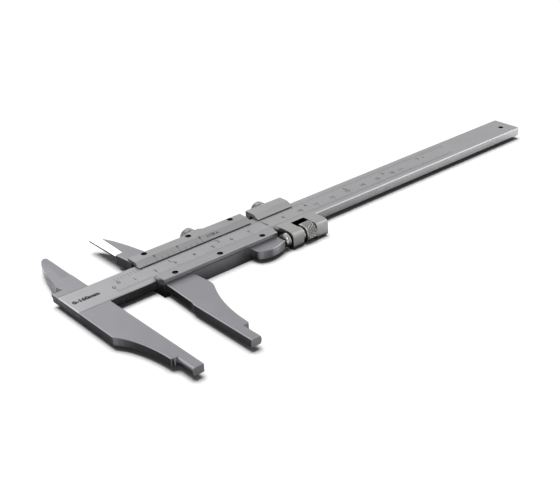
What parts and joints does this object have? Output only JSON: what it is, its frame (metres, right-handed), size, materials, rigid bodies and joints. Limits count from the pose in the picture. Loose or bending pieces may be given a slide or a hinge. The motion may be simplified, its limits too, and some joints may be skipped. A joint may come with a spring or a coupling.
{
  "type": "vernier caliper",
  "caption": "Vernier caliper with nib jaws for inside and outside work, knife-edge jaws and a screw-fed fine adjustment carriage.",
  "frame": {"origin": "centre of the fixed jaw's outside-measuring face", "axes": "+X along the beam towards its free end, +Y from the nib jaws towards the knife-edge jaws, +Z out of the scale face"},
  "size_m": [0.2711, 0.1127, 0.0086],
  "materials": {
    "satin_beam": "satin chrome plated scale face",
    "ground_jaw": "fine ground steel",
    "satin_plate": "satin chrome",
    "black_screw": "blackened steel",
    "bronze_gib": "spring bronze strip",
    "bright_screw": "bright plated, knurled heads",
    "knurled_nut": "knurled satin steel"
  },
  "bodies": {
    "beam": {"beam": "satin_beam", "fixed_jaw": "ground_jaw"},
    "slider": {"slider_body": "ground_jaw", "upper_vernier_plate": "satin_plate", "lower_vernier_plate": "satin_plate", "upper_plate_screw_1": "black_screw", "upper_plate_screw_2": "black_screw", "upper_plate_screw_3": "black_screw", "lower_plate_screw_1": "black_screw", "lower_plate_screw_2": "black_screw", "lower_plate_screw_3": "black_screw", "slider_gib": "bronze_gib", "gib_screw_1": "black_screw", "gib_screw_2": "black_screw", "adjusting_screw": "bright_screw", "lock_nut": "bright_screw"},
    "slider_clamp": {"slider_clamp_screw": "bright_screw"},
    "carriage": {"carriage_body": "satin_plate", "carriage_gib": "bronze_gib"},
    "carriage_clamp": {"carriage_clamp_screw": "bright_screw"},
    "adjusting_nut": {"adjusting_nut": "knurled_nut"}
  },
  "joints": [
    {"name": "slider_travel", "type": "slide", "parent": "beam", "child": "slider", "axis": [1, 0, 0], "range_m": [-0.0215, 0.1384]},
    {"name": "carriage_feed", "type": "slide", "parent": "slider", "child": "carriage", "axis": [1, 0, 0], "range_m": [-0.0005, 0.003]},
    {"name": "nut_turn", "type": "hinge", "parent": "carriage", "child": "adjusting_nut", "pos_m": [0.0962, 0.02297, 0.00013], "axis": [1, 0, 0], "range_deg": [-361, 2161]},
    {"name": "slider_clamp_turn", "type": "hinge", "parent": "slider", "child": "slider_clamp", "pos_m": [0.0568, 0.0541, -0.00003], "axis": [0, 1, 0], "range_deg": [-90, 360]},
    {"name": "carriage_clamp_turn", "type": "hinge", "parent": "carriage", "child": "carriage_clamp", "pos_m": [0.0962, 0.0541, -0.00003], "axis": [0, 1, 0], "range_deg": [-90, 360]}
  ],
  "couplings": [
    {"joint": "nut_turn", "follows": "carriage_feed", "rad_per_m": 12566}
  ]
}
